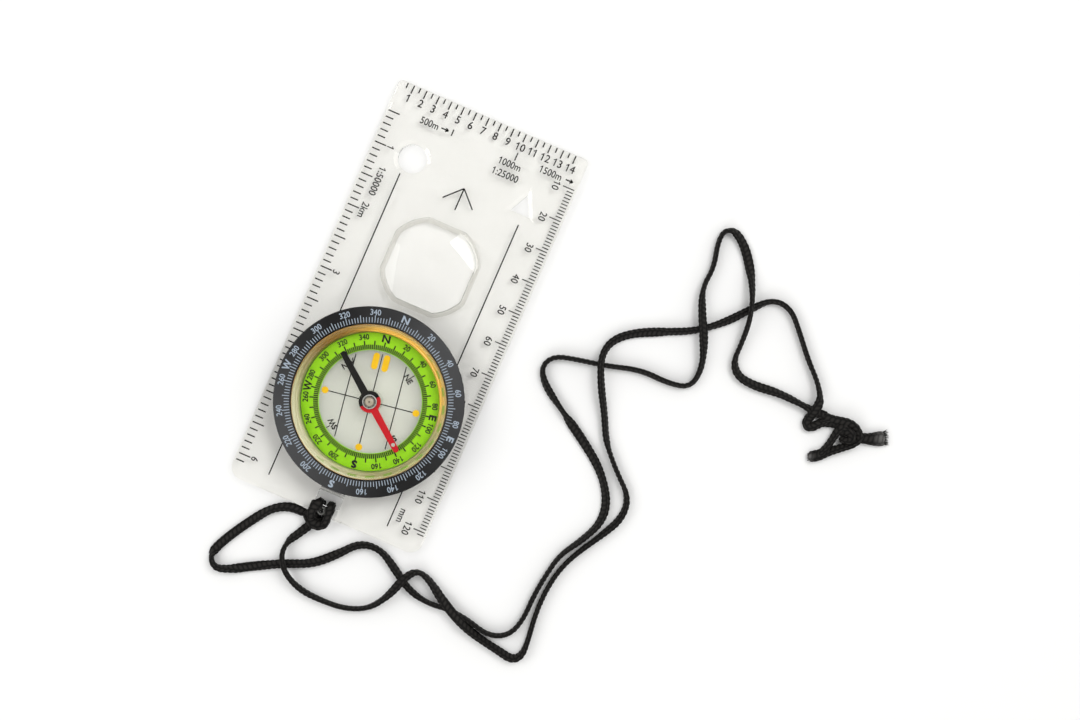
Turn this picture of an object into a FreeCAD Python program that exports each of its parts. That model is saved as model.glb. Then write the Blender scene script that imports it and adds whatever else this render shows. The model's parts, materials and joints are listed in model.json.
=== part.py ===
import FreeCAD, Part
import math
import os

# Clear baseplate map compass with a turning bezel, a liquid capsule and a flat cord lanyard.
# Millimetres. X across the plate, Y towards the ruler end, Z up from the underside of the plate.

vec = FreeCAD.Vector

# ---- baseplate
plate_width = 61.0
plate_length = 127.2
plate_thickness = 2.8
front_corner_radius = 1.4
rear_corner_radius = 3.8
edge_chamfer = 0.5
ruler_bevel_width = 7.5
ruler_edge_thickness = 1.3

# ---- stencils and moulded marks, measured from the ruler end and from the centre line
circle_hole_diameter = 8.6
circle_hole_x = -17.7
circle_hole_from_front = 20.3
triangle_base = 6.1
triangle_height = 6.1
triangle_x = 17.8
triangle_base_from_front = 22.6
stencil_chamfer = 1.2
gate_mark_diameter = 2.3
gate_mark_depth = 0.3
gate_mark_from_front = 32.4

# ---- magnifier
lens_from_front = 47.7
lens_flat_width = 24.1
lens_round_diameter = 26.6
lens_rim = 1.55
lens_rim_thickness = 1.1
lens_crown = 1.7
lens_fit = 0.05
lens_underside = 0.2

# ---- housing
housing_from_front = 90.6
overall_height = 11.0
capsule_diameter = 45.4
capsule_flange = 1.1
capsule_flange_thickness = 0.8
capsule_wall = 2.2
capsule_floor = 1.4
capsule_lift = 0.9
bezel_diameter = 55.4
neck_wall = 1.45
bezel_lift = 0.1
azimuth_ring_thickness = 0.9
azimuth_ring_overhang = 0.3
azimuth_ring_inset = 0.05
azimuth_ring_seat = 9.5
azimuth_ring_chamfer = 0.35
grip_count = 60
grip_radius = 0.75
grip_depth = 0.35
grip_land = 0.9
retainer_width = 1.6
retainer_thickness = 0.9
retainer_lift = 0.15
turning_clearance = 0.08
assembly_fit = 0.03

# ---- inside the capsule
lid_thickness = 1.3
lid_gap = 0.35
lid_chamfer = 0.4
seal_width = 1.9
seal_height = 1.1
disc_height = 5.0
disc_thickness = 0.6
disc_ledge = 1.3
dial_gap = 0.3
dial_inner_diameter = 30.2
dial_thickness = 0.7
mark_thickness = 0.15
dot_diameter = 2.0
dot_radius_out = 13.7
bar_width = 1.85
bar_length = 4.95
bar_offset = 1.55
bar_centre_out = 11.85
post_diameter = 7.0
post_height = 0.9
post_shoulder_diameter = 4.0
pin_diameter = 0.7
pin_above_post = 1.25
pin_root = 0.2
pin_point = 0.5
pin_tip_radius = 0.08
plug_diameter = 1.6
plug_angle = -21.0
plug_below_flange = 1.9
plug_recess = 0.3
plug_sink = 0.2
capsule_angle = 9.0

# ---- needle
needle_length = 33.3
needle_tip_width = 1.7
needle_root_width = 2.3
needle_hub_diameter = 6.4
needle_thickness = 0.3
needle_angle = 142.0
needle_hole_diameter = 1.15
needle_hole_from_tip = 2.4
collar_diameter = 4.4
collar_step_diameter = 3.6
collar_below = 0.35
collar_above = 0.6
collar_shoulder = 0.36
jewel_diameter = 3.0
jewel_crown = 0.45
pivot_clearance = 0.05

# ---- lanyard lug
lug_half_width = 6.0
lug_rise = 0.7
lug_bezel_gap = 0.5
lug_front_land = 1.2
lug_root = 1.0
lug_chamfer = 0.4
slot_width = 7.6
slot_length = 4.1
bar_depth = 2.9
bar_underside = 1.7
pip_diameter = 2.2
pip_hole_diameter = 1.3
pip_height = 0.35
pip_x = -0.5

# ---- lanyard
cord_diameter = 2.0
cord_rest = 1.05
cord_crossing = 3.3
hitch_thickness = 1.4
hitch_gap = 0.15
hitch_left = -3.6
hitch_right = 3.2
hitch_leg_width = 2.1
hitch_collar_depth = 3.6
hitch_collar_left = 0.8
hitch_collar_right = 0.4
hitch_collar_drop = 1.0
knot_height = 3.6

front_y = plate_length / 2
rear_y = -plate_length / 2
housing_y = front_y - housing_from_front
lens_y = front_y - lens_from_front
capsule_radius = capsule_diameter / 2
bezel_radius = bezel_diameter / 2
flange_radius = capsule_radius + capsule_flange
bore_radius = capsule_radius + turning_clearance
neck_radius = bore_radius + neck_wall
hole_radius = neck_radius + turning_clearance
retainer_radius = neck_radius + retainer_width
counterbore_depth = retainer_lift + retainer_thickness + bezel_lift
azimuth_inner_radius = bore_radius + azimuth_ring_inset
flange_seat = azimuth_ring_seat - turning_clearance - capsule_flange_thickness - turning_clearance
flange_low = flange_seat + turning_clearance
flange_top = flange_low + capsule_flange_thickness
lid_low = overall_height - lid_thickness
lid_radius = azimuth_inner_radius - lid_gap
cavity_radius = capsule_radius - capsule_wall
disc_low = disc_height
disc_top = disc_low + disc_thickness
disc_radius = cavity_radius - assembly_fit
dial_radius = cavity_radius - dial_gap
dial_low = disc_top
mark_low = disc_top
post_top = disc_top + post_height
pin_top = post_top + pin_above_post
blade_low = pin_top - needle_thickness - collar_below / 2
slot_rear_y = rear_y + bar_depth
slot_front_y = slot_rear_y + slot_length
bar_top = plate_thickness + lug_rise
clear_through = 1.0


def at_housing(shape):
    """Moves a shape made about the origin onto the housing's axis."""
    shape.translate(vec(0, housing_y, 0))
    return shape


def disc(radius, low, high, x=0.0, y=0.0):
    return Part.makeCylinder(radius, high - low, vec(x, y, low))


def ring(outer, inner, low, high, x=0.0, y=0.0):
    hole = disc(inner, low - clear_through, high + clear_through, x, y)
    return disc(outer, low, high, x, y).cut(hole)


def block(x_low, x_high, y_low, y_high, z_low, z_high):
    return Part.makeBox(x_high - x_low, y_high - y_low, z_high - z_low, vec(x_low, y_low, z_low))


def prism(points, low, high):
    corners = [vec(x, y, low) for x, y in points]
    face = Part.Face(Part.makePolygon(corners + corners[:1]))
    return face.extrude(vec(0, 0, high - low))


def turned(points):
    """Solid of revolution about Z from a closed list of (radius, height)."""
    corners = [vec(r, 0, z) for r, z in points]
    face = Part.Face(Part.makePolygon(corners + corners[:1]))
    return face.revolve(vec(0, 0, 0), vec(0, 0, 1), 360)


def polar(radius, degrees, z=0.0):
    angle = math.radians(degrees)
    return vec(radius * math.cos(angle), radius * math.sin(angle), z)


def upright_edges(shape, test):
    """Vertical straight edges whose middle passes the test."""
    found = []
    for edge in shape.Edges:
        line = isinstance(edge.Curve, (Part.Line, Part.LineSegment))
        ends = edge.Vertexes
        if line and len(ends) == 2:
            run = ends[1].Point - ends[0].Point
            if abs(run.x) < 1e-6 and abs(run.y) < 1e-6 and test(ends[0].Point):
                found.append(edge)
    return found


def top_edges(shape, height):
    """Edges that lie wholly in the top face at a height."""
    return [e for e in shape.Edges if min(v.Point.z for v in e.Vertexes) > height - 1e-6]


def lens_outline(grow, low, high):
    """The magnifier's outline: a round cut by four flats, grown outwards by an amount."""
    half = lens_flat_width / 2 + grow
    round_part = disc(lens_round_diameter / 2 + grow, low, high, 0, lens_y)
    return round_part.common(block(-half, half, lens_y - half, lens_y + half, low, high))


def tapered_triangle():
    """Cutter for the triangular stencil, whose walls slope outwards near the top face."""
    sink = plate_thickness - stencil_chamfer
    half = triangle_base / 2
    slope = math.hypot(half, triangle_height)
    inner_radius = half * triangle_height / (half + slope)
    centre_y = front_y - triangle_base_from_front + inner_radius

    def outline(grow, z):
        share = (inner_radius + grow) / inner_radius
        low = centre_y - inner_radius * share
        high = centre_y + (triangle_height - inner_radius) * share
        reach = half * share
        corners = [
            vec(triangle_x - reach, low, z),
            vec(triangle_x + reach, low, z),
            vec(triangle_x, high, z),
        ]
        return Part.makePolygon(corners + corners[:1])

    straight = Part.Face(outline(0, -clear_through)).extrude(vec(0, 0, sink + clear_through))
    flare = Part.makeLoft([outline(0, sink), outline(stencil_chamfer, plate_thickness)], True)
    above = Part.Face(outline(stencil_chamfer, plate_thickness)).extrude(vec(0, 0, clear_through))
    return straight.fuse([flare, above])


def make_baseplate():
    half = plate_width / 2
    plate = block(-half, half, rear_y, front_y, 0, plate_thickness)
    plate = plate.makeFillet(front_corner_radius, upright_edges(plate, lambda p: p.y > 0))
    plate = plate.makeFillet(rear_corner_radius, upright_edges(plate, lambda p: p.y < 0))
    plate = plate.makeChamfer(edge_chamfer, top_edges(plate, plate_thickness))

    # sloping ruler edge
    bevel_start = front_y - ruler_bevel_width
    margin = 1.0
    drop = (plate_thickness - ruler_edge_thickness) / ruler_bevel_width
    profile = [
        vec(-half - margin, bevel_start, plate_thickness),
        vec(-half - margin, front_y + margin, plate_thickness - drop * (ruler_bevel_width + margin)),
        vec(-half - margin, front_y + margin, plate_thickness + margin),
        vec(-half - margin, bevel_start, plate_thickness + margin),
    ]
    section = Part.Face(Part.makePolygon(profile + profile[:1]))
    wedge = section.extrude(vec(plate_width + 2 * margin, 0, 0))
    plate = plate.cut(wedge)

    # raised lug about the lanyard slot, kept clear of the bezel
    lug = block(-lug_half_width, lug_half_width, rear_y, slot_front_y + lug_front_land, lug_root, bar_top)
    lug = lug.makeChamfer(lug_chamfer, top_edges(lug, bar_top))
    lug = lug.cut(disc(bezel_radius + lug_bezel_gap, plate_thickness, bar_top + 1, 0, housing_y))
    plate = plate.fuse(lug).removeSplitter()
    pip = ring(pip_diameter / 2, pip_hole_diameter / 2, bar_top - 0.5, bar_top + pip_height)
    pip.translate(vec(pip_x, rear_y + bar_depth / 2, 0))
    plate = plate.fuse(pip)

    circle_y = front_y - circle_hole_from_front
    circle_radius = circle_hole_diameter / 2
    sink = plate_thickness - stencil_chamfer
    flare = Part.makeCone(
        circle_radius, circle_radius + stencil_chamfer, stencil_chamfer, vec(circle_hole_x, circle_y, sink)
    )
    cutters = [
        disc(circle_radius, -clear_through, plate_thickness + clear_through, circle_hole_x, circle_y),
        flare,
        tapered_triangle(),
        disc(
            gate_mark_diameter / 2,
            plate_thickness - gate_mark_depth,
            plate_thickness + 1,
            0,
            front_y - gate_mark_from_front,
        ),
        lens_outline(0, -clear_through, plate_thickness + clear_through),
        lens_outline(lens_rim, plate_thickness - lens_rim_thickness, plate_thickness + clear_through),
        disc(hole_radius, -clear_through, plate_thickness + lug_rise + clear_through, 0, housing_y),
        disc(retainer_radius + turning_clearance, -clear_through, counterbore_depth, 0, housing_y),
        block(-slot_width / 2, slot_width / 2, slot_rear_y, slot_front_y, -clear_through, bar_top + 1),
        block(-slot_width / 2, slot_width / 2, rear_y - 1, slot_rear_y, -clear_through, bar_underside),
    ]
    for cutter in cutters:
        plate = plate.cut(cutter)
    return plate


def make_lens():
    rim_low = plate_thickness - lens_rim_thickness
    body = lens_outline(-lens_fit, lens_underside, rim_low + lens_fit)
    rim = lens_outline(lens_rim - lens_fit, rim_low + lens_fit, plate_thickness)
    reach = lens_round_diameter / 2 + lens_rim / 2
    ball_radius = (reach**2 + lens_crown**2) / (2 * lens_crown)
    ball = Part.makeSphere(ball_radius, vec(0, lens_y, plate_thickness + lens_crown - ball_radius))
    crown = ball.common(lens_outline(lens_rim / 2, plate_thickness, plate_thickness + lens_crown + 1))
    return body.fuse([rim, crown]).removeSplitter()


def make_bezel():
    grip_outer = bezel_radius - azimuth_ring_overhang
    low = plate_thickness + bezel_lift
    body = turned(
        [
            (bore_radius, retainer_lift),
            (neck_radius, retainer_lift),
            (neck_radius, low),
            (grip_outer, low),
            (grip_outer, azimuth_ring_seat),
            (flange_radius + turning_clearance, azimuth_ring_seat),
            (flange_radius + turning_clearance, flange_seat),
            (bore_radius, flange_seat),
        ]
    )
    flutes = []
    for k in range(grip_count):
        place = polar(grip_outer - grip_depth + grip_radius, k * 360 / grip_count)
        flutes.append(disc(grip_radius, low - 1, azimuth_ring_seat - grip_land, place.x, place.y))
    return at_housing(body.cut(Part.makeCompound(flutes)))


def make_azimuth_ring():
    top = azimuth_ring_seat + azimuth_ring_thickness
    body = turned(
        [
            (azimuth_inner_radius, azimuth_ring_seat),
            (bezel_radius, azimuth_ring_seat),
            (bezel_radius, top - azimuth_ring_chamfer),
            (bezel_radius - azimuth_ring_chamfer, top),
            (azimuth_inner_radius, top),
        ]
    )
    return at_housing(body)


def make_retainer():
    high = retainer_lift + retainer_thickness
    return at_housing(ring(retainer_radius, neck_radius + assembly_fit, retainer_lift, high))


def plug_place(radius):
    spot = polar(radius, plug_angle, flange_low - plug_below_flange)
    return spot + vec(0, housing_y, 0)


def make_cup():
    floor_top = capsule_lift + capsule_floor
    seal_low = lid_low - seal_height - assembly_fit
    seat_radius = cavity_radius + seal_width + 2 * assembly_fit
    body = turned(
        [
            (0, capsule_lift),
            (capsule_radius, capsule_lift),
            (capsule_radius, flange_low),
            (flange_radius, flange_low),
            (flange_radius, flange_top),
            (seat_radius, flange_top),
            (seat_radius, seal_low),
            (cavity_radius, seal_low),
            (cavity_radius, disc_low),
            (cavity_radius - disc_ledge, disc_low),
            (cavity_radius - disc_ledge, floor_top),
            (0, floor_top),
        ]
    )
    cup = at_housing(body)
    inward = polar(1, plug_angle)
    start = plug_place(cavity_radius - 1)
    bore = Part.makeCylinder(plug_diameter / 2, capsule_wall + 2, start, inward)
    return cup.cut(bore)


def make_plug():
    inward = polar(1, plug_angle)
    start = plug_place(cavity_radius + plug_recess)
    length = capsule_wall - plug_recess - plug_sink
    return Part.makeCylinder(plug_diameter / 2 - assembly_fit, length, start, inward)


def make_seal():
    inner = cavity_radius + assembly_fit
    return at_housing(ring(inner + seal_width, inner, lid_low - seal_height, lid_low))


def make_lid():
    top = overall_height
    body = turned(
        [
            (0, lid_low),
            (lid_radius, lid_low),
            (lid_radius, top - lid_chamfer),
            (lid_radius - 2 * lid_chamfer, top),
            (0, top),
        ]
    )
    return at_housing(body)


def make_disc():
    return at_housing(disc(disc_radius, disc_low, disc_top))


def make_dial():
    return at_housing(ring(dial_radius, dial_inner_diameter / 2, dial_low, dial_low + dial_thickness))


def on_capsule(shape):
    """Turns a shape drawn with the dial's north at +Y by the capsule's setting."""
    shape.rotate(vec(0, 0, 0), vec(0, 0, 1), capsule_angle)
    return at_housing(shape)


def make_dots():
    dots = []
    for degrees in (0, 180, 270):
        place = polar(dot_radius_out, degrees)
        dots.append(disc(dot_diameter / 2, mark_low, mark_low + mark_thickness, place.x, place.y))
    return on_capsule(Part.makeCompound(dots))


def make_bars():
    bars = []
    reach = (bar_length - bar_width) / 2
    for side in (-1, 1):
        x = side * bar_offset
        high = mark_low + mark_thickness
        near = bar_centre_out - reach
        far = bar_centre_out + reach
        middle = block(x - bar_width / 2, x + bar_width / 2, near, far, mark_low, high)
        ends = [disc(bar_width / 2, mark_low, high, x, bar_centre_out + way * reach) for way in (-1, 1)]
        bars.append(middle.fuse(ends).removeSplitter())
    return on_capsule(Part.makeCompound(bars))


def make_post():
    body = turned(
        [
            (0, disc_top),
            (post_diameter / 2, disc_top),
            (post_diameter / 2, disc_top + post_height / 2),
            (post_shoulder_diameter / 2, post_top),
            (0, post_top),
        ]
    )
    socket = disc(pin_diameter / 2 + assembly_fit, disc_top + pin_root, post_top + 1)
    return at_housing(body.cut(socket))


def make_pin():
    body = turned(
        [
            (0, disc_top + pin_root),
            (pin_diameter / 2, disc_top + pin_root),
            (pin_diameter / 2, pin_top - pin_point),
            (pin_tip_radius, pin_top),
            (0, pin_top),
        ]
    )
    return at_housing(body)


def on_needle(shape):
    shape.rotate(vec(0, 0, 0), vec(0, 0, 1), needle_angle)
    return at_housing(shape)


def make_needle():
    tip = needle_tip_width / 2
    root = needle_root_width / 2
    tip_centre = needle_length / 2 - tip
    high = blade_low + needle_thickness
    arms = prism(
        [
            (-tip_centre, -tip),
            (0, -root),
            (tip_centre, -tip),
            (tip_centre, tip),
            (0, root),
            (-tip_centre, tip),
        ],
        blade_low,
        high,
    )
    parts = [disc(tip, blade_low, high, way * tip_centre) for way in (-1, 1)]
    parts.append(disc(needle_hub_diameter / 2, blade_low, high))
    blade = arms.fuse(parts).removeSplitter()
    bore = disc(collar_step_diameter / 2 + assembly_fit, blade_low - 1, high + 1)
    eye_x = -needle_length / 2 + needle_hole_from_tip
    eye = disc(needle_hole_diameter / 2, blade_low - 1, high + 1, eye_x)
    return on_needle(blade.cut(bore).cut(eye))


def make_collar():
    high = blade_low + needle_thickness
    spigot = collar_step_diameter / 2
    cup = jewel_diameter / 2 + assembly_fit
    body = turned(
        [
            (cup, blade_low - collar_below),
            (spigot, blade_low - collar_below),
            (spigot, high),
            (collar_diameter / 2, high),
            (collar_diameter / 2, high + collar_shoulder),
            (spigot, high + collar_above),
            (cup, high + collar_above),
        ]
    )
    return at_housing(body)


def make_jewel():
    low = blade_low - collar_below
    shoulder = blade_low + needle_thickness + collar_above
    radius = jewel_diameter / 2
    body = disc(radius, low, shoulder)
    ball_radius = (radius**2 + jewel_crown**2) / (2 * jewel_crown)
    ball = Part.makeSphere(ball_radius, vec(0, 0, shoulder + jewel_crown - ball_radius))
    dome = ball.common(disc(radius, shoulder, shoulder + jewel_crown + 1))
    socket = disc(pin_diameter / 2 + pivot_clearance, low - 1, pin_top + pivot_clearance)
    return at_housing(body.fuse(dome).removeSplitter().cut(socket))


# ---- lanyard: the corners of each strand's route on the ground, in millimetres
rest = cord_rest
over = cord_crossing
strand_a = [
    (-4.9, -65.2, rest), (-8.2, -65.0, rest), (-11.8, -66.0, rest), (-15.4, -68.7, rest),
    (-19.7, -75.0, rest), (-23.6, -81.6, rest), (-26.0, -87.3, rest), (-23.4, -90.8, rest),
    (-18.9, -89.4, rest), (-12.0, -85.3, rest), (-4.7, -81.3, rest), (2.7, -78.3, rest),
    (8.6, -72.6, rest), (13.3, -66.9, rest), (19.7, -66.1, rest), (25.9, -69.8, rest),
    (32.1, -73.9, rest), (39.0, -75.2, rest), (45.4, -74.3, rest), (51.5, -74.9, rest),
    (59.0, -76.9, rest), (64.6, -74.3, rest), (66.6, -68.3, rest), (66.6, -60.7, rest),
    (67.5, -53.4, rest), (68.9, -46.4, rest), (73.2, -39.8, rest), (76.3, -32.8, rest),
    (75.3, -26.1, rest), (69.9, -18.8, rest), (61.9, -13.0, rest), (52.6, -7.3, rest),
    (44.9, -2.4, rest), (41.6, 2.2, rest), (43.7, 6.6, rest), (50.4, 8.4, rest),
    (59.1, 10.1, rest), (68.9, 13.1, rest), (78.0, 12.7, rest), (84.5, 14.2, rest),
    (85.4, 20.7, rest), (82.5, 28.5, over), (78.5, 35.8, over), (75.9, 42.8, rest),
    (76.7, 49.2, rest), (74.8, 56.5, rest), (75.1, 60.9, rest), (78.5, 61.9, rest),
    (83.5, 58.0, rest), (87.9, 51.5, rest), (90.8, 45.0, over), (92.5, 38.6, over),
    (93.1, 32.2, rest), (93.0, 26.4, rest), (95.9, 22.8, rest), (101.6, 22.2, rest),
    (108.7, 22.9, rest), (116.0, 22.6, rest), (122.0, 22.1, rest), (125.8, 22.8, rest),
]
strand_b = [
    (-2.7, -67.9, rest), (-4.2, -71.3, rest), (-6.5, -75.0, rest), (-6.4, -79.0, over),
    (-3.4, -83.4, over), (2.4, -86.6, rest), (9.7, -87.0, rest), (17.2, -86.4, rest),
    (23.6, -83.5, rest), (27.5, -77.2, over), (29.5, -70.7, over), (32.2, -67.4, rest),
    (36.9, -68.8, rest), (42.8, -72.7, over), (49.6, -76.2, over), (56.6, -78.6, rest),
    (63.5, -79.7, rest), (68.4, -80.6, rest), (70.6, -77.9, rest), (70.2, -72.6, rest),
    (69.3, -65.8, rest), (69.2, -58.6, rest), (70.3, -51.2, rest), (72.9, -44.6, rest),
    (78.0, -36.1, rest), (81.4, -29.2, rest), (80.7, -22.7, rest), (74.2, -17.1, rest),
    (68.0, -10.5, rest), (64.4, -3.2, rest), (60.0, 4.0, over), (56.6, 11.5, over),
    (57.3, 17.2, rest), (62.0, 21.9, rest), (70.1, 25.9, rest), (78.9, 29.9, rest),
    (86.3, 36.0, rest), (91.5, 42.5, rest), (96.3, 47.8, rest), (102.4, 47.4, rest),
    (107.5, 42.0, rest), (113.2, 35.7, rest), (118.7, 31.1, rest), (121.3, 26.0, over),
    (120.5, 20.9, over), (119.0, 18.4, rest), (119.3, 16.2, rest), (121.0, 14.9, rest),
    (123.3, 15.4, rest), (125.7, 17.9, rest),
]
tail_left = [(130.1, 13.7, rest), (128.3, 11.0, rest), (124.3, 8.7, rest)]
tail_right = [(137.4, 20.9, rest), (140.4, 21.3, rest), (143.7, 23.4, rest)]
knot_outline = [
    (125.9, 24.3), (131.0, 24.6), (136.4, 22.9), (137.3, 18.4), (133.6, 14.4), (129.9, 14.2), (126.9, 17.6)
]


def cord_tube(name, route):
    """Round tube along straight runs joined by tangent arcs, as large as the runs allow."""
    corners = [vec(*point) for point in route]
    edges = []
    radii = []
    start = corners[0]
    for before, corner, after in zip(corners, corners[1:], corners[2:]):
        run_in = corner - before
        run_out = after - corner
        half_turn = run_in.getAngle(run_out) / 2
        reach = 0.45 * min(run_in.Length, run_out.Length)
        radii.append(reach / math.tan(half_turn))
        way_in = vec(run_in).normalize()
        way_out = vec(run_out).normalize()
        first = corner - way_in * reach
        last = corner + way_out * reach
        inside = (way_out - way_in).normalize()
        middle = corner + inside * (math.hypot(reach, radii[-1]) - radii[-1])
        edges.append(Part.LineSegment(start, first).toShape())
        edges.append(Part.Arc(first, middle, last).toShape())
        start = last
    edges.append(Part.LineSegment(start, corners[-1]).toShape())
    path = Part.Wire(edges)
    circle = Part.makeCircle(cord_diameter / 2, corners[0], corners[1] - corners[0])
    tube = path.makePipeShell([Part.Wire([circle])], True, False)
    share = tube.Volume / (math.pi * cord_diameter**2 / 4 * path.Length)
    tightest = min(radii, default=0)
    print(f"{name}: length {path.Length:.1f}, tightest arc {tightest:.1f}, volume share {share:.4f}")
    print("  arc radii", " ".join(f"{r:.1f}" for r in radii))
    return tube


def make_hitch():
    """The cord's two turns round the lug's bar and the bight that holds them."""
    inner_rear = rear_y - hitch_gap
    inner_front = slot_rear_y + hitch_gap
    inner_low = bar_underside - hitch_gap
    inner_high = bar_top + pip_height + hitch_gap
    low = inner_low - hitch_thickness
    high = inner_high + hitch_thickness
    solids = []
    for left in (hitch_left, hitch_right - hitch_leg_width):
        right = left + hitch_leg_width
        turn = block(left, right, inner_rear - hitch_thickness, inner_front + hitch_thickness, low, high)
        solids.append(turn.cut(block(left - 1, right + 1, inner_rear, inner_front, inner_low, inner_high)))
    collar_rear = inner_rear - hitch_collar_depth
    left = hitch_left - hitch_collar_left
    right = hitch_right + hitch_collar_right
    collar = block(left, right, collar_rear, inner_rear, low, high - hitch_collar_drop)
    return collar.fuse(solids).removeSplitter()


def make_knot():
    return prism(knot_outline, cord_rest - cord_diameter / 2, knot_height)


nodes = {
    "baseplate": make_baseplate,
    "magnifier_lens": make_lens,
    "bezel": make_bezel,
    "azimuth_ring": make_azimuth_ring,
    "bezel_retainer": make_retainer,
    "capsule_cup": make_cup,
    "capsule_lid": make_lid,
    "sealing_ring": make_seal,
    "filler_plug": make_plug,
    "orienting_disc": make_disc,
    "dial_ring": make_dial,
    "luminous_dots": make_dots,
    "luminous_bars": make_bars,
    "pivot_post": make_post,
    "pivot_pin": make_pin,
    "needle": make_needle,
    "needle_collar": make_collar,
    "needle_jewel": make_jewel,
    "lanyard_hitch": make_hitch,
    "lanyard_strand_a": lambda: cord_tube("strand a", strand_a),
    "lanyard_strand_b": lambda: cord_tube("strand b", strand_b),
    "lanyard_knot": make_knot,
    "lanyard_tail_left": lambda: cord_tube("left tail", tail_left),
    "lanyard_tail_right": lambda: cord_tube("right tail", tail_right),
}

os.makedirs("parts", exist_ok=True)
for node, make in nodes.items():
    shape = make()
    assert shape.isValid(), node
    shape.exportStep(f"parts/{node}.step")
    box = shape.BoundBox
    count = len(shape.Solids)
    print(f"{node}: {count} solids, volume {shape.Volume:.1f}, z {box.ZMin:.2f} to {box.ZMax:.2f}")
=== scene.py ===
import bmesh
import bpy
import json
import math
import random
from mathutils import Matrix, Vector


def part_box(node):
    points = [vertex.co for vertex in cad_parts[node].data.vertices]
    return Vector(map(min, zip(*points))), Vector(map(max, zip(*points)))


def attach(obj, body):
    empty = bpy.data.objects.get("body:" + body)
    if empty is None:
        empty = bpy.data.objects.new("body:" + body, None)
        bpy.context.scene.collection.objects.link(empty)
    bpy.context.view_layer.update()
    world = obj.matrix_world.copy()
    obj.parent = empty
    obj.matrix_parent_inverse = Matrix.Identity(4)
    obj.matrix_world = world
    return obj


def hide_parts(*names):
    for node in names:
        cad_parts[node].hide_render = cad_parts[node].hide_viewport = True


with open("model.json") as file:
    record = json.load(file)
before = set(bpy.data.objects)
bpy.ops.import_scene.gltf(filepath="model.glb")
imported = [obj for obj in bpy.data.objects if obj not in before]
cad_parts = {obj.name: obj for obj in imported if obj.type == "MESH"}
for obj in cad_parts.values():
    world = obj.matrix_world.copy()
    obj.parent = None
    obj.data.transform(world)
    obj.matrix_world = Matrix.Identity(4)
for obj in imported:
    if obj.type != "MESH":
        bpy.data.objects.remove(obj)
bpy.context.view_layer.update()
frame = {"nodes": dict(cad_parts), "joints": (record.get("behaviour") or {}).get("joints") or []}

mm = 0.001
scene = bpy.context.scene
cadNodes = frame["nodes"]
housing = Vector(frame["joints"][0]["pos_m"])  # the axis that bezel, capsule and needle turn about


# shader tools
class Wire:  # a node's output that sums can be written with
    def __init__(self, shop, socket):
        self.shop = shop
        self.socket = socket

    def calc(self, operation, first, second=0.0):
        return self.shop.add("ShaderNodeMath", {"operation": operation}, {0: first, 1: second})

    def __add__(self, other):
        return self.calc("ADD", self, other)

    def __sub__(self, other):
        return self.calc("SUBTRACT", self, other)

    def __rsub__(self, other):
        return self.calc("SUBTRACT", other, self)

    def __mul__(self, other):
        return self.calc("MULTIPLY", self, other)

    def __pow__(self, other):
        return self.calc("POWER", self, other)

    def __mod__(self, other):
        return self.calc("FLOORED_MODULO", self, other)

    __radd__ = __add__
    __rmul__ = __mul__

    def sine(self):
        return self.calc("SINE", self)

    def size(self):
        return self.calc("ABSOLUTE", self)

    def step(self, low, high):  # 0 below low, 1 above high, smooth between
        sockets = {"Value": self, "From Min": low, "From Max": high}
        return self.shop.add("ShaderNodeMapRange", {"interpolation_type": "SMOOTHSTEP"}, sockets)


class Shop:  # the node tree of a material or of the world
    def __init__(self, owner):
        owner.use_nodes = True
        self.owner = owner
        self.tree = owner.node_tree
        self.tree.nodes.clear()

    def add(self, kind, settings=None, sockets=None, out=0):
        node = self.tree.nodes.new(kind)
        for name, value in (settings or {}).items():
            setattr(node, name, value)
        for name, value in (sockets or {}).items():
            if isinstance(value, Wire):
                self.tree.links.new(value.socket, node.inputs[name])
            else:
                node.inputs[name].default_value = value
        return Wire(self, node.outputs[out]) if node.outputs else node

    def place(self):
        return self.add("ShaderNodeTexCoord", out="Object")

    def about(self, centre, stretch=(1.0, 1.0, 1.0)):  # object coordinates from a centre, in millimetres
        scale = [s / mm for s in stretch]
        location = [-c * s for c, s in zip(centre, scale)]
        sockets = {"Vector": self.place(), "Location": location, "Scale": scale}
        return self.add("ShaderNodeMapping", {}, sockets)

    def split(self, vector):
        first = self.add("ShaderNodeSeparateXYZ", {}, {0: vector})
        return [Wire(self, part) for part in first.socket.node.outputs]

    def clock(self, away, across):  # the angle round the axis, in radians from +X
        return self.add("ShaderNodeMath", {"operation": "ARCTAN2"}, {0: away, 1: across})

    def noise(self, vector, scale, detail, rough=0.5):
        sockets = {"Vector": vector, "Scale": scale, "Detail": detail, "Roughness": rough}
        return self.add("ShaderNodeTexNoise", {}, sockets)

    def tint(self, share, first, second):  # from the first colour to the second, the node's sockets 6 and 7
        return self.add("ShaderNodeMix", {"data_type": "RGBA"}, {0: share, 6: first, 7: second}, out=2)

    def bump(self, height, strength, distance):
        return self.add("ShaderNodeBump", {}, {"Height": height, "Strength": strength, "Distance": distance})

    def finish(self, shader):
        self.add("ShaderNodeOutputMaterial", {}, {"Surface": shader})
        return self.owner


def newShop(name):
    return Shop(bpy.data.materials.new(name))


def colour(red, green, blue):
    return (red, green, blue, 1.0)


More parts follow.
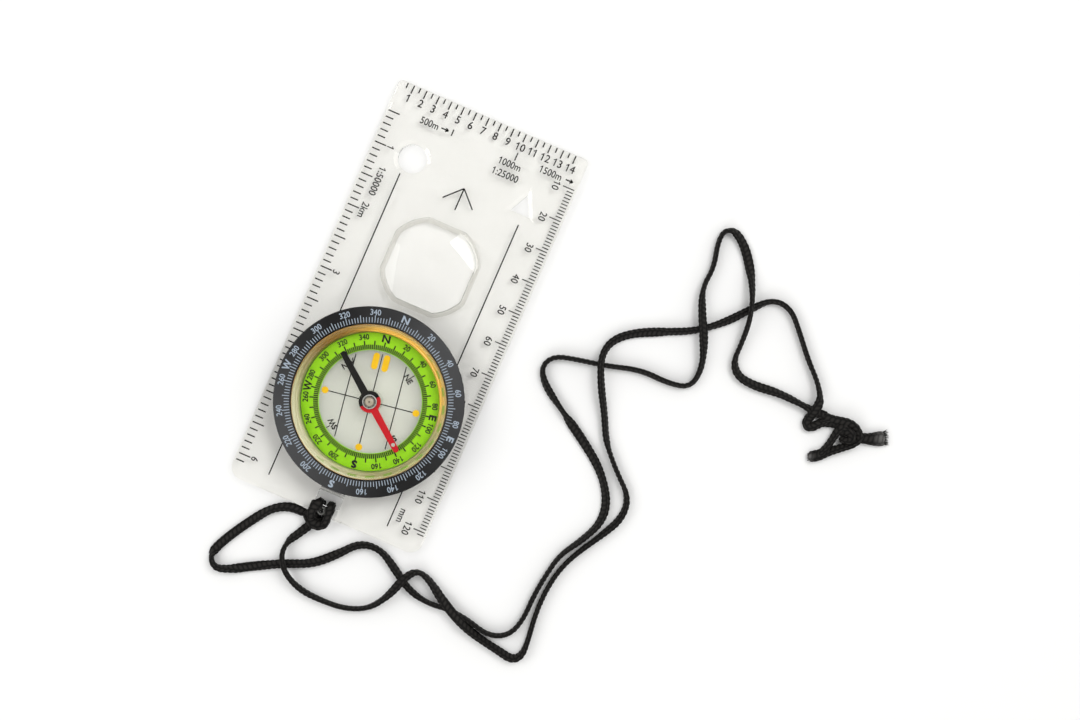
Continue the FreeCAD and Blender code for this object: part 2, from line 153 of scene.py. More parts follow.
# camera, lights and floor
camera = {"eye": (0.0405, 0.0039, 0.4), "turn": 23.55, "lens": 45.0, "sensor": 36.0}
litPlace = Vector((0.04, 0.0, 0.0))  # what the panels point at
lights = {
    "keyPanel": {"place": (0.22, 0.36, 0.66), "size": 0.36, "power": 1.95},
    "fillPanel": {"place": (-0.48, -0.12, 0.55), "size": 0.42, "power": 1.2},
    "rearPanel": {"place": (0.10, -0.62, 0.50), "size": 0.40, "power": 1.05},
}
sky = {
    "side": 0.77,  # brightness towards the horizon
    "overhead": 0.16,
    "zenithEdge": (0.90, 0.985),  # heights between which the side turns to overhead
    "shadeSide": 0.42,  # brightness on the shaded side
    "shadeWay": (-0.6, -0.8),
    "shadeEdge": (0.1, 0.9),
}
ground = {"radius": 3.0, "below": 0.00004, "grain": 900.0, "tone": colour(0.93, 0.93, 0.925)}


def makeCamera():
    data = bpy.data.cameras.new("camera")
    data.lens = camera["lens"]
    data.sensor_width = camera["sensor"]
    data.clip_start = 0.01
    eye = bpy.data.objects.new("camera", data)
    eye.location = camera["eye"]
    eye.rotation_euler = (0.0, 0.0, math.radians(camera["turn"]))
    scene.collection.objects.link(eye)
    scene.camera = eye


def makeLights():
    for name, facts in lights.items():
        data = bpy.data.lights.new(name, "AREA")
        data.size = facts["size"]
        data.energy = facts["power"]
        panel = bpy.data.objects.new(name, data)
        panel.location = facts["place"]
        aim = litPlace - panel.location
        panel.rotation_euler = aim.to_track_quat("-Z", "Y").to_euler()
        scene.collection.objects.link(panel)


def makeSky():
    world = bpy.data.worlds.new("studio")
    scene.world = world
    shop = Shop(world)
    across, away, up = shop.split(shop.add("ShaderNodeTexCoord", out="Generated"))
    overhead = up.step(*sky["zenithEdge"])
    acrossShare, awayShare = sky["shadeWay"]
    shade = (across * acrossShare + away * awayShare).step(*sky["shadeEdge"])
    side = sky["side"] - shade * (sky["side"] - sky["shadeSide"])
    glow = side * (1.0 - overhead) + overhead * sky["overhead"]
    seen = shop.add("ShaderNodeLightPath", out="Is Camera Ray")
    facts = {"Color": colour(1.0, 0.995, 0.985), "Strength": glow * (1.0 - seen) + seen}
    backdrop = shop.add("ShaderNodeBackground", {}, facts)
    shop.add("ShaderNodeOutputWorld", {}, {"Surface": backdrop})


def makeFloor():
    shop = newShop("paperWhite")
    grain = shop.noise(shop.place(), ground["grain"], 4.0)
    facts = {"Base Color": ground["tone"], "Roughness": 0.75, "Specular IOR Level": 0.2}
    facts["Normal"] = shop.bump(grain, 0.05, 0.0002)
    material = shop.finish(shop.add("ShaderNodeBsdfPrincipled", {}, facts))
    bm = bmesh.new()
    bmesh.ops.create_circle(bm, cap_ends=True, segments=96, radius=ground["radius"])
    bmesh.ops.translate(bm, vec=(0.0, 0.0, -ground["below"]), verts=bm.verts)
    mesh = bpy.data.meshes.new("floor")
    bm.to_mesh(mesh)
    bm.free()
    mesh.materials.append(material)
    floor = bpy.data.objects.new("floor", mesh)
    scene.collection.objects.link(floor)


makeCamera()
makeLights()
makeSky()
makeFloor()
scene.view_settings.view_transform = "Standard"
scene.cycles.transparent_max_bounces = 32
scene.cycles.max_bounces = 24
scene.cycles.glossy_bounces = 24
scene.cycles.transmission_bounces = 24
scene.cycles.caustics_reflective = False
print("camera, lights and floor are up")


# lanyard
cord = {
    "width": 2.75,
    "thickness": 1.3,
    "step": 0.2,  # between rings of points
    "sides": 30,
    "plaits": 6,  # rows of plaits round the cord
    "pitch": 1.45,  # along the cord, from one plait to the next
    "relief": 0.26,
    "lean": 0.55,  # how far a plait leans across its row, in plaits
    "crown": 0.55,  # below 1 the plaits' crowns are broad
    "squareness": 0.72,  # below 1 the section's corners fill out
    "rest": 1.05,  # height of the routes where the cord lies flat on the ground
    "hump": 0.86,  # share of a route's hump that the cord takes
    "endRound": 1.0,  # length over which a cut end rounds off
    "endLeast": 0.35,  # share of its size that it keeps there
}
rest = cord["rest"]
over = 3.3  # height of a route where it crosses over another cord
strandRouteA = [
    (-4.9, -65.2, rest), (-8.2, -65.0, rest), (-11.8, -66.0, rest), (-15.4, -68.7, rest),
    (-19.7, -75.0, rest), (-23.6, -81.6, rest), (-26.0, -87.3, rest), (-23.4, -90.8, rest),
    (-18.9, -89.4, rest), (-12.0, -85.3, rest), (-4.7, -81.3, rest), (2.7, -78.3, rest),
    (8.6, -72.6, rest), (13.3, -66.9, rest), (19.7, -66.1, rest), (25.9, -69.8, rest),
    (32.1, -73.9, rest), (39.0, -75.2, rest), (45.4, -74.3, rest), (51.5, -74.9, rest),
    (59.0, -76.9, rest), (64.6, -74.3, rest), (66.6, -68.3, rest), (66.6, -60.7, rest),
    (67.5, -53.4, rest), (68.9, -46.4, rest), (73.2, -39.8, rest), (76.3, -32.8, rest),
    (75.3, -26.1, rest), (69.9, -18.8, rest), (61.9, -13.0, rest), (52.6, -7.3, rest),
    (44.9, -2.4, rest), (41.6, 2.2, rest), (43.7, 6.6, rest), (50.4, 8.4, rest),
    (59.1, 10.1, rest), (68.9, 13.1, rest), (78.0, 12.7, rest), (84.5, 14.2, rest),
    (85.4, 20.7, rest), (82.5, 28.5, over), (78.5, 35.8, over), (75.9, 42.8, rest),
    (76.7, 49.2, rest), (74.8, 56.5, rest), (75.1, 60.9, rest), (78.5, 61.9, rest),
    (83.5, 58.0, rest), (87.9, 51.5, rest), (90.8, 45.0, over), (92.5, 38.6, over),
    (93.1, 32.2, rest), (93.0, 26.4, rest), (95.9, 22.8, rest), (101.6, 22.2, rest),
    (108.7, 23.1, rest), (116.0, 22.8, rest), (121.8, 22.1, rest), (125.2, 22.6, rest),
]
strandRouteB = [
    (-2.2, -67.5, rest), (-4.1, -71.1, rest), (-6.5, -75.0, rest), (-6.4, -79.0, over),
    (-3.4, -83.4, over), (2.4, -86.6, rest), (9.7, -87.0, rest), (17.2, -86.4, rest),
    (23.6, -83.5, rest), (27.5, -77.2, over), (29.5, -70.7, over), (32.2, -67.4, rest),
    (36.9, -68.8, rest), (42.8, -72.7, over), (49.6, -76.2, over), (56.6, -78.6, rest),
    (63.5, -79.7, rest), (68.4, -80.6, rest), (70.6, -77.9, rest), (70.2, -72.6, rest),
    (69.3, -65.8, rest), (69.2, -58.6, rest), (70.3, -51.2, rest), (72.9, -44.6, rest),
    (78.0, -36.1, rest), (81.4, -29.2, rest), (80.7, -22.7, rest), (74.2, -17.1, rest),
    (68.0, -10.5, rest), (64.4, -3.2, rest), (60.0, 4.0, over), (56.6, 11.5, over),
    (57.3, 17.2, rest), (62.0, 21.9, rest), (70.1, 25.9, rest), (78.9, 29.9, rest),
    (86.3, 36.0, rest), (91.5, 42.5, rest), (96.3, 47.8, rest), (102.4, 47.4, rest),
    (107.5, 42.0, rest), (112.9, 35.7, rest), (118.0, 30.9, rest), (120.8, 26.4, over),
    (120.9, 22.6, over), (120.3, 20.4, rest), (120.0, 18.5, rest), (120.8, 17.4, rest),
    (122.2, 17.9, rest), (123.9, 20.1, rest), (125.8, 21.5, rest),
]
# how far the flat cord is rolled over, in degrees, at distances in millimetres
rollA = [
    (0, 10), (10, 44), (18, 4), (30, 0), (34.5, 88), (40, 120), (46, 178), (54, 135), (62, 130),
    (70, 150), (78, 125), (86, 104), (94, 124), (102, 108), (108, 90), (122, 84), (132, 90),
    (146, 80), (160, 90), (172, 110), (182, 138), (190, 128), (198, 145), (207, 170), (214, 102),
    (221, 125), (232, 90), (243, 86), (252, 80), (262, 74), (272, 80), (282, 62), (290, 30),
    (298, 44), (306, 82), (314, 95), (322, 90), (327, 145), (335, 178), (342, 125), (348, 106),
    (356, 110), (362, 102), (370, 140), (378, 150), (386, 128), (391, 114), (398, 175),
]
rollB = [
    (0, 25), (6, 44), (11, 90), (20, 92), (26, 100), (36, 90), (44, 90), (50, 106), (58, 138),
    (62, 126), (66, 95), (70, 112), (74, 135), (80, 178), (88, 140), (94, 120), (102, 128),
    (112, 100), (124, 90), (136, 90), (146, 100), (156, 118), (163, 110), (170, 90), (178, 90),
    (183, 62), (190, 60), (198, 54), (206, 60), (218, 44), (226, 30), (231, 55), (242, 62),
    (250, 44), (256, 54), (264, 80), (272, 90), (283, 90), (290, 98), (295, 118), (300, 178),
    (304, 165), (309, 145), (315, 125),
]


def splineLine(name, route):  # the smooth line that a cord follows, in metres
    curve = bpy.data.curves.new(name, "CURVE")
    curve.dimensions = "3D"
    curve.resolution_u = 24
    spline = curve.splines.new("NURBS")
    spline.points.add(len(route) - 1)
    for point, (x, y, z) in zip(spline.points, route):
        point.co = (x * mm, y * mm, z * mm, 1.0)
    spline.order_u = 3
    spline.use_endpoint_u = True
    carrier = bpy.data.objects.new(name, curve)
    scene.collection.objects.link(carrier)
    mesh = bpy.data.meshes.new_from_object(carrier)
    line = [vert.co.copy() for vert in mesh.vertices]
    bpy.data.objects.remove(carrier)
    bpy.data.curves.remove(curve)
    bpy.data.meshes.remove(mesh)
    return line


def evenly(line, step):  # points at equal distances along a line
    lengths = [0.0]
    for here, there in zip(line, line[1:]):
        lengths.append(lengths[-1] + (there - here).length)
    count = max(2, round(lengths[-1] / step))
    found = []
    k = 0
    for n in range(count + 1):
        distance = lengths[-1] * n / count
        while k < len(line) - 2 and lengths[k + 1] < distance:
            k += 1
        share = (distance - lengths[k]) / max(lengths[k + 1] - lengths[k], 1e-12)
        found.append(line[k].lerp(line[k + 1], share))
    return found


def keyed(keys, distance):  # smooth value at a distance from (distance, value) pairs
    for (low, first), (high, second) in zip(keys, keys[1:]):
        if distance <= high:
            share = max(0.0, (distance - low) / (high - low))
            return first + (second - first) * share * share * (3 - 2 * share)
    return keys[-1][1]


def restHeight(roll):  # how far the middle of a rolled cord is above what it lies on
    turn = math.radians(roll)
    wide = cord["width"] / 2 * abs(math.sin(turn))
    thick = cord["thickness"] / 2 * abs(math.cos(turn))
    quarter = [math.radians(angle) for angle in range(0, 91, 5)]
    fill = cord["squareness"]
    reach = max(wide * math.cos(a) ** fill + thick * math.sin(a) ** fill for a in quarter)
    return reach + cord["relief"] / 2


def settle(line, rolls):  # lowers or lifts each point so that the cord lies on the ground
    step = (line[1] - line[0]).length / mm
    for k, point in enumerate(line):
        rise = max(0.0, point.z / mm - rest) * cord["hump"]
        point.z = (restHeight(keyed(rolls, k * step)) + rise) * mm
    return line


def plaitHeight(along, around):  # 0 in the grooves between plaits, 1 on their crowns
    row = math.floor(around)
    across = around - row
    lean = cord["lean"] if row % 2 else -cord["lean"]
    phase = along + lean * (across - 0.5) + 0.5 * (row % 2)
    return (math.sin(math.pi * across) * abs(math.sin(math.pi * phase))) ** cord["crown"]


unrolled = ((0, 0), (1, 0))
evenWidth = ((0, 1.0), (1, 1.0))


def braid(bm, line, rolls, swell=evenWidth):  # adds a flat braided cord along evenly spaced points
    rings = len(line)
    sides = cord["sides"]
    step = (line[1] - line[0]).length / mm
    old = set(bm.verts)
    oldFaces = set(bm.faces)
    bmesh.ops.create_grid(bm, x_segments=rings - 1, y_segments=sides, size=0.5, calc_uvs=True)
    fresh = [v for v in bm.verts if v not in old]
    frames = []
    side = None
    for k in range(rings):
        ahead = (line[min(k + 1, rings - 1)] - line[max(k - 1, 0)]).normalized()
        level = Vector((0.0, 0.0, 1.0)).cross(ahead)
        if level.length > 0.25:
            level.normalize()
            if side is not None and level.dot(side) < 0:
                level = -level
            side = level
        else:
            side = side - ahead * side.dot(ahead) if side else ahead.orthogonal()
            side.normalize()
        frames.append((ahead, side.copy()))
    for vert in fresh:
        k = round((vert.co.x + 0.5) * (rings - 1))
        around = (vert.co.y + 0.5) * cord["plaits"]
        angle = (vert.co.y + 0.5) * 2 * math.pi
        ahead, side = frames[k]
        roll = math.radians(keyed(rolls, k * step))
        up = ahead.cross(side)
        wide = side * math.cos(roll) + up * math.sin(roll)
        thick = up * math.cos(roll) - side * math.sin(roll)
        grown = keyed(swell, k * step)
        fromEnd = min(k, rings - 1 - k) * step / cord["endRound"]
        rounding = 1.0
        if fromEnd < 1.0:
            rounding = max(cord["endLeast"], math.sqrt(max(0.0, 1.0 - (1.0 - fromEnd) ** 2)))
        cosine = math.cos(angle)
        sine = math.sin(angle)
        relief = cord["relief"] * (plaitHeight(k * step / cord["pitch"], around) - 0.5)
        x = cord["width"] / 2 * grown * math.copysign(abs(cosine) ** cord["squareness"], cosine)
        y = cord["thickness"] / 2 * math.copysign(abs(sine) ** cord["squareness"], sine)
        outward = Vector((cosine * cord["thickness"], sine * cord["width"])).normalized()
        x += outward.x * relief
        y += outward.y * relief
        vert.co = line[k] + (wide * x + thick * y) * mm * rounding
    uv = bm.loops.layers.uv.verify()
    turns = (rings - 1) * step / cord["pitch"]
    for face in bm.faces:
        if face not in oldFaces:
            for loop in face.loops:
                loop[uv].uv = (loop[uv].uv.x * turns, loop[uv].uv.y * cord["plaits"])
    bmesh.ops.remove_doubles(bm, verts=fresh, dist=1e-7)
    rims = [e for e in bm.edges if e.is_boundary]
    bmesh.ops.edgeloop_fill(bm, edges=rims)


def cordMaterial():
    shop = newShop("blackBraid")
    along, around = shop.split(shop.add("ShaderNodeTexCoord", out="UV"))[:2]
    across = around % 1.0
    odd = (around - across) % 2.0
    phase = along + (odd * (2 * cord["lean"]) - cord["lean"]) * (across - 0.5) + odd * 0.5
    crown = ((across * math.pi).sine() * (phase * math.pi).sine().size()) ** cord["crown"]
    fibre = {0: along * 6.0 + across * 9.0, 1: around * 2.0 - along * 3.0}
    yarn = shop.noise(shop.add("ShaderNodeCombineXYZ", {}, fibre), 3.0, 4.0, 0.6)
    patch = shop.noise(shop.place(), 180.0, 2.0)
    # painted highlight and shade: the plaits' crowns are painted lighter and the grooves between them darker
    paintedCrownLight = crown ** 2.0 * (yarn * 1.5 - 0.1)
    shade = shop.tint(paintedCrownLight, colour(0.0008, 0.0007, 0.0006), colour(0.032, 0.029, 0.026))
    faded = shop.tint(patch.step(0.55, 0.8) * 0.25, shade, colour(0.022, 0.021, 0.019))
    for tail in tails:  # cut ends are dusty and paler
        apart = {0: shop.about([v * mm for v in tail["end"]])}
        reach = shop.add("ShaderNodeVectorMath", {"operation": "LENGTH"}, apart, out="Value")
        dust = 1.0 - reach.step(0.3, tail["dusty"])
        faded = shop.tint(dust * (yarn * 1.1 + crown * 0.5 - 0.35), faded, colour(0.19, 0.185, 0.18))
    normal = shop.bump(yarn * 0.6 + crown * 0.4, 0.55, 0.00012)
    facts = {"Base Color": faded, "Roughness": 0.78 - crown * 0.18, "Normal": normal}
    facts.update({"Sheen Weight": 0.025, "Sheen Roughness": 0.5, "Specular IOR Level": 0.16})
    return shop.finish(shop.add("ShaderNodeBsdfPrincipled", {}, facts))


def finishMesh(bm, name, material, body, smooth=True):  # bmesh to a piece that rides on a body
    bmesh.ops.recalc_face_normals(bm, faces=bm.faces)
    mesh = bpy.data.meshes.new(name)
    bm.to_mesh(mesh)
    bm.free()
    for polygon in mesh.polygons:
        polygon.use_smooth = smooth
    mesh.materials.append(material)
    piece = bpy.data.objects.new(name, mesh)
    scene.collection.objects.link(piece)
    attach(piece, body)
    return piece


def makeStrand(name, route, rolls):
    line = settle(evenly(splineLine(name, route), cord["step"] * mm), rolls)
    bm = bmesh.new()
    bm.loops.layers.uv.new("UVMap")
    braid(bm, line, rolls)
    return finishMesh(bm, name, blackBraid, "plate"), line


looseYarn = {
    "sides": 5,
    "root": 0.11,
    "tip": 0.03,
    "inside": 1.0,  # how far back in the cord it starts
    "least": 0.9,  # length that every yarn has before the tail's own reach
    "lift": 0.35,
    "tilt": 0.25,
}


def fray(bm, tail):  # loose yarns that stand out of a cut end
    draw = random.Random(tail["yarns"])
    ahead = Vector((*tail["ahead"], 0.0)).normalized()
    side = Vector((-ahead.y, ahead.x, 0.0))
    for _ in range(tail["yarns"]):
        across = draw.uniform(-0.5, 0.5)
        lift = draw.uniform(-looseYarn["lift"], looseYarn["lift"])
        tilt = draw.uniform(-looseYarn["tilt"], looseYarn["tilt"])
        length = draw.uniform(0.45, 1.0) * tail["reach"] + looseYarn["least"]
        way = (ahead + side * (across * 0.5 + tilt) + Vector((0.0, 0.0, lift * 0.3))).normalized()
        leaving = Vector(tail["end"]) + side * across * tail["spread"] + Vector((0.0, 0.0, lift))
        start = leaving - ahead * looseYarn["inside"]
        turn = way.to_track_quat("Z", "Y").to_matrix().to_4x4()
        place = Matrix.Translation((start + way * length / 2) * mm) @ turn
        taper = {"radius1": looseYarn["root"] * mm, "radius2": looseYarn["tip"] * mm, "depth": length * mm}
        bmesh.ops.create_cone(bm, segments=looseYarn["sides"], cap_ends=True, matrix=place, **taper)


def makeWinding(name, turns, cutEnds=()):  # several short lengths of the cord in one piece
    bm = bmesh.new()
    bm.loops.layers.uv.new("UVMap")
    for route, rolls, swell in turns:
        braid(bm, evenly(splineLine(name, route), cord["step"] * mm), rolls, swell)
    for tail in cutEnds:
        fray(bm, tail)
    return finishMesh(bm, name, blackBraid, "plate")


# each turn is its route, its rolls and how its width swells, at distances in millimetres
hitchTurns = [
    # left leg: over the bar beside the pip, down through the slot and back under the bar
    ([(-2.3, -65.4, 2.4), (-2.6, -65.2, 3.9), (-3.1, -63.9, 4.6), (-3.1, -62.3, 4.8), (-2.4, -60.9, 4.8),
      (-2.0, -59.8, 4.1), (-1.8, -59.8, 1.6), (-1.8, -61.4, 0.95), (-1.8, -64.0, 0.95), (-2.0, -65.8, 1.6)],
     unrolled, ((0, 0.95), (2.4, 0.9), (4.2, 0.95), (5.8, 1.4), (7.4, 0.8), (12, 1.0))),
    # right leg
    ([(1.7, -65.6, 2.4), (1.8, -65.4, 3.9), (1.9, -63.8, 4.6), (1.9, -62.0, 4.8), (1.5, -60.4, 4.7),
      (1.4, -59.2, 3.8), (1.3, -59.5, 1.6), (1.2, -61.4, 0.95), (1.2, -64.0, 0.95), (1.4, -65.8, 1.6)],
     unrolled, ((0, 0.8), (3, 0.78), (4.4, 0.8), (5.8, 1.1), (7.4, 0.65), (12, 1.0))),
    # the bight that holds both legs, and strand A's way out of it
    ([(2.0, -63.4, 1.8), (1.9, -64.6, 2.6), (1.4, -66.0, 3.3), (-0.2, -66.7, 3.6), (-1.9, -66.5, 3.5),
      (-3.3, -65.5, 3.0), (-4.2, -64.9, 2.0), (-5.4, -65.1, 1.5)],
     ((0, 70), (3, 45), (8, 20), (12, 40)), ((0, 1.0), (5, 1.25), (9, 1.15), (12, 1.0))),
    # strand B's way out
    ([(1.2, -65.2, 1.2), (0.2, -65.5, 1.3), (-0.9, -66.1, 1.3), (-2.2, -67.5, 1.2)],
     ((0, 20), (3, 25), (6, 30)), evenWidth),
]
knotTurns = [
    # over the top, round the outside and away as the left tail
    ([(123.8, 22.1, 1.2), (126.3, 22.1, 1.8), (128.9, 22.7, 2.6), (131.5, 23.2, 2.8), (134.2, 22.4, 2.7),
      (136.0, 20.2, 2.4), (134.9, 17.7, 2.0), (132.9, 16.1, 1.6), (130.2, 13.8, 1.3), (127.8, 11.6, 1.2),
      (126.0, 10.1, 1.2), (124.5, 9.3, 1.15)],
     ((0, 10), (8, 18), (12, 35), (16, 62), (22, 48), (26, 14)),
     ((0, 1.0), (23, 1.0), (27, 1.22), (31, 1.05))),
    # through the middle and away as the right tail
    ([(124.0, 19.6, 1.2), (125.9, 20.9, 1.3), (128.4, 21.6, 1.5), (131.6, 20.9, 1.5), (134.6, 20.3, 1.15),
      (137.8, 20.9, 1.05), (140.8, 22.1, 1.0), (143.2, 23.4, 1.0)],
     ((0, 60), (6, 20), (12, 10), (20, 0)), ((0, 1.0), (11, 1.0), (14, 1.15), (19, 1.6))),
    # the inner turn, down beside the left tail
    ([(132.0, 22.2, 2.0), (130.4, 21.9, 2.9), (129.2, 20.4, 2.8), (129.0, 18.0, 2.1), (128.7, 15.3, 1.5),
      (127.9, 12.9, 1.3), (126.9, 11.0, 1.2)],
     ((0, 20), (6, 55), (12, 62)), ((0, 0.95), (12, 0.85))),
    # the lump that closes the middle
    ([(129.6, 19.3, 1.6), (130.9, 20.6, 2.7), (132.9, 20.7, 3.2), (133.9, 19.0, 2.9), (132.4, 17.9, 2.0),
      (130.7, 18.2, 1.4)],
     ((0, 10), (4, 50), (8, 15)), ((0, 0.9), (4, 1.15), (8, 0.8))),
]
tails = [  # where the cord was cut, which way it points, and its yarns; dust reaches back as far as "dusty"
    {"end": (143.2, 23.4, 1.0), "ahead": (0.89, 0.46),
     "spread": 3.5, "yarns": 110, "reach": 1.2, "dusty": 4.4},
    {"end": (124.5, 9.3, 1.15), "ahead": (-0.92, -0.38),
     "spread": 1.6, "yarns": 40, "reach": 0.4, "dusty": 2.2},
]

blackBraid = cordMaterial()
strandA, lineA = makeStrand("strandA", strandRouteA, rollA)
strandB, lineB = makeStrand("strandB", strandRouteB, rollB)
hitch = makeWinding("hitch", hitchTurns)
knot = makeWinding("endKnot", knotTurns, tails)
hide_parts("lanyard_strand_a")
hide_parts("lanyard_strand_b")
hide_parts("lanyard_hitch")
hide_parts("lanyard_knot", "lanyard_tail_left", "lanyard_tail_right")
print("lanyard is laid out")


# materials of the hard parts
def lettingLampsThrough(shop, glass, shadow):  # a clear wall that only tints the light which crosses it
    veil = shop.add("ShaderNodeBsdfTransparent", {}, {"Color": shadow})
    lamp = shop.add("ShaderNodeLightPath", out="Is Shadow Ray")
    return shop.finish(shop.add("ShaderNodeMixShader", {}, {0: lamp, 1: glass, 2: veil}))


def clearPlastic(name, tint, shadow, ior, ripple, clarity=1.0):
    shop = newShop(name)
    flow = shop.noise(shop.about(housing, (1.0, 0.35, 1.0)), 0.16, 2.0)
    scuff = shop.noise(shop.about(housing, (1.0, 0.2, 1.0)), 5.0, 5.0, 0.65)
    normal = shop.bump(flow, ripple, 0.0006)
    facts = {"Base Color": tint, "Roughness": scuff.step(0.66, 0.9) * 0.05, "Normal": normal}
    facts.update({"Transmission Weight": clarity, "IOR": ior})
    return lettingLampsThrough(shop, shop.add("ShaderNodeBsdfPrincipled", {}, facts), shadow)


# how much paler the two lit sides are painted: a painted sheen in two lobes round the axis, standing for the
# lamps' reflection
def grainedBlack(name, base, pale, roughness, scale, depth, paintedSheenShare=0.0, mottle=0.5):
    shop = newShop(name)
    spot = shop.about(housing)
    across, away = shop.split(spot)[:2]
    grain = shop.noise(spot, scale, 4.0, 0.6)
    cloud = shop.noise(spot, 0.12, 3.0)
    turn = shop.clock(away, across)
    # painted sheen: two paler lobes on opposite sides of the axis
    paintedSheenLobe = ((turn - 0.82) * 2.0 + math.pi / 2).sine() * 0.5 + 0.5
    shade = cloud.step(0.35, 0.75) * mottle + paintedSheenLobe * paintedSheenShare + (grain - 0.5) * 0.4
    facts = {"Base Color": shop.tint(shade, base, pale), "Roughness": roughness + grain * 0.12}
    facts.update({"Normal": shop.bump(grain, 0.35, depth), "Specular IOR Level": 0.25})
    return shop.finish(shop.add("ShaderNodeBsdfPrincipled", {}, facts))


def enamel(name, base, pale, roughness):  # opaque colour with a slight mottle
    shop = newShop(name)
    spot = shop.about(housing)
    cloud = shop.noise(spot, 0.35, 4.0)
    grain = shop.noise(spot, 9.0, 2.0)
    mottled = shop.tint(cloud.step(0.3, 0.7), base, pale)
    facts = {"Base Color": mottled, "Roughness": roughness + grain * 0.1}
    facts.update({"Normal": shop.bump(grain, 0.15, 0.00003), "Specular IOR Level": 0.2})
    return shop.finish(shop.add("ShaderNodeBsdfPrincipled", {}, facts))


def needlePaint(name, turn):
    shop = newShop(name)
    across, away = shop.split(shop.about(housing))[:2]
    along = across * math.cos(turn) + away * math.sin(turn)
    grain = shop.noise(shop.about(housing), 7.0, 3.0)
    red = shop.tint(grain, colour(0.46, 0.006, 0.012), colour(0.56, 0.012, 0.02))
    black = shop.tint(grain, colour(0.004, 0.004, 0.004), colour(0.014, 0.013, 0.012))
    facts = {"Base Color": shop.tint(along.step(-0.04, 0.04), red, black), "Roughness": 0.3 + grain * 0.12}
    facts.update({"Normal": shop.bump(grain, 0.12, 0.00004), "Specular IOR Level": 0.12})
    return shop.finish(shop.add("ShaderNodeBsdfPrincipled", {}, facts))


# painted light and shade: the seal's tones change round the ring, gold towards the lamp, olive and deep
# amber on the shaded side, with a painted reflection of the dial's green
def amberSeal(name):  # gold towards the lamp, olive on the shaded side, with the dial's green mirrored in it
    shop = newShop(name)
    across, away, up = shop.split(shop.about(housing))
    turn = shop.clock(away, across)
    radius = (across * across + away * away) ** 0.5
    wrap = shop.add("ShaderNodeCombineXYZ", {}, {0: turn * 2.2, 1: radius * 3.4, 2: up})
    streak = shop.noise(wrap, 1.0, 5.0, 0.6)
    fine = shop.noise(wrap, 6.0, 3.0, 0.6)
    # painted light on the lit side, paler olive and painted shade, each set by the angle round the ring
    paintedLitShare = (turn - sealLook["gold"]).sine().step(-0.15, 0.6)
    pale = (turn - sealLook["pale"]).sine().step(0.45, 1.0)
    paintedShade = (turn - sealLook["paintedShade"]).sine().step(0.55, 0.98)
    olive = shop.tint(pale, colour(0.34, 0.33, 0.15), colour(0.60, 0.58, 0.36))
    gold = shop.tint(paintedShade, colour(0.86, 0.47, 0.05), colour(0.20, 0.095, 0.002))
    inner = shop.tint(paintedLitShare, olive, gold)
    paleOuter = shop.tint(pale, colour(0.44, 0.42, 0.19), colour(0.68, 0.67, 0.45))
    paintedShadeOuter = shop.tint(paintedShade, colour(0.52, 0.36, 0.10), colour(0.26, 0.14, 0.02))
    outer = shop.tint(paintedLitShare, paleOuter, paintedShadeOuter)
    base = shop.tint(radius.step(*sealLook["outerFrom"]), inner, outer)
    broken = ((turn * sealLook["dashes"]).sine() + fine * 1.6).step(0.5, 1.1)
    mirrored = radius.step(*sealLook["mirrorFrom"]) * (1.0 - radius.step(*sealLook["mirrorTo"])) * broken
    facing = (turn - sealLook["mirror"]).sine().step(-0.2, 0.4)
    # painted reflection of the dial's green
    base = shop.tint(mirrored * facing * 0.8, base, colour(0.16, 0.36, 0.012))
    rim = radius.step(*sealLook["rimFrom"])
    base = shop.tint(rim * 0.75, base, colour(0.62, 0.27, 0.03))
    shade = shop.tint(streak.step(0.35, 0.65) * 0.35, base, colour(0.16, 0.12, 0.03))
    shine = shop.tint(fine.step(0.62, 0.75) * 0.35, shade, colour(0.80, 0.62, 0.28))
    facts = {"Base Color": shine, "Roughness": 0.2 + streak * 0.2}
    facts.update({"Normal": shop.bump(streak, 0.3, 0.0002), "Coat Weight": 0.25, "Coat Roughness": 0.08})
    facts["Specular IOR Level"] = 0.3
    return shop.finish(shop.add("ShaderNodeBsdfPrincipled", {}, facts))


def brushedSteel(name):
    shop = newShop(name)
    grain = shop.noise(shop.about(housing, (1.0, 1.0, 0.2)), 12.0, 3.0)
    facts = {"Base Color": colour(0.62, 0.61, 0.58), "Metallic": 1.0, "Roughness": 0.22 + grain * 0.15}
    facts["Normal"] = shop.bump(grain, 0.1, 0.00002)
    return shop.finish(shop.add("ShaderNodeBsdfPrincipled", {}, facts))


def jewelCap(name):
    shop = newShop(name)
    across, away = shop.split(shop.about(housing))[:2]
    radius = (across * across + away * away) ** 0.5
    grain = shop.noise(shop.about(housing), 5.0, 3.0)
    stone = shop.tint(grain, colour(0.30, 0.25, 0.18), colour(0.44, 0.38, 0.29))
    rim = shop.tint(radius.step(0.95, 1.35), stone, colour(0.16, 0.13, 0.10))
    dot = shop.tint(1.0 - radius.step(0.22, 0.34), rim, colour(0.10, 0.08, 0.06))
    facts = {"Base Color": dot, "Roughness": 0.28, "Coat Weight": 0.6, "Coat Roughness": 0.06}
    facts["Normal"] = shop.bump(grain, 0.1, 0.00004)
    return shop.finish(shop.add("ShaderNodeBsdfPrincipled", {}, facts))


def ink(name, base, pale):
    shop = newShop(name)
    grain = shop.noise(shop.place(), 2600.0, 3.0)
    facts = {"Base Color": shop.tint(grain, base, pale), "Roughness": 0.42 + grain * 0.2}
    facts.update({"Normal": shop.bump(grain, 0.1, 0.00002), "Specular IOR Level": 0.12})
    return shop.finish(shop.add("ShaderNodeBsdfPrincipled", {}, facts))


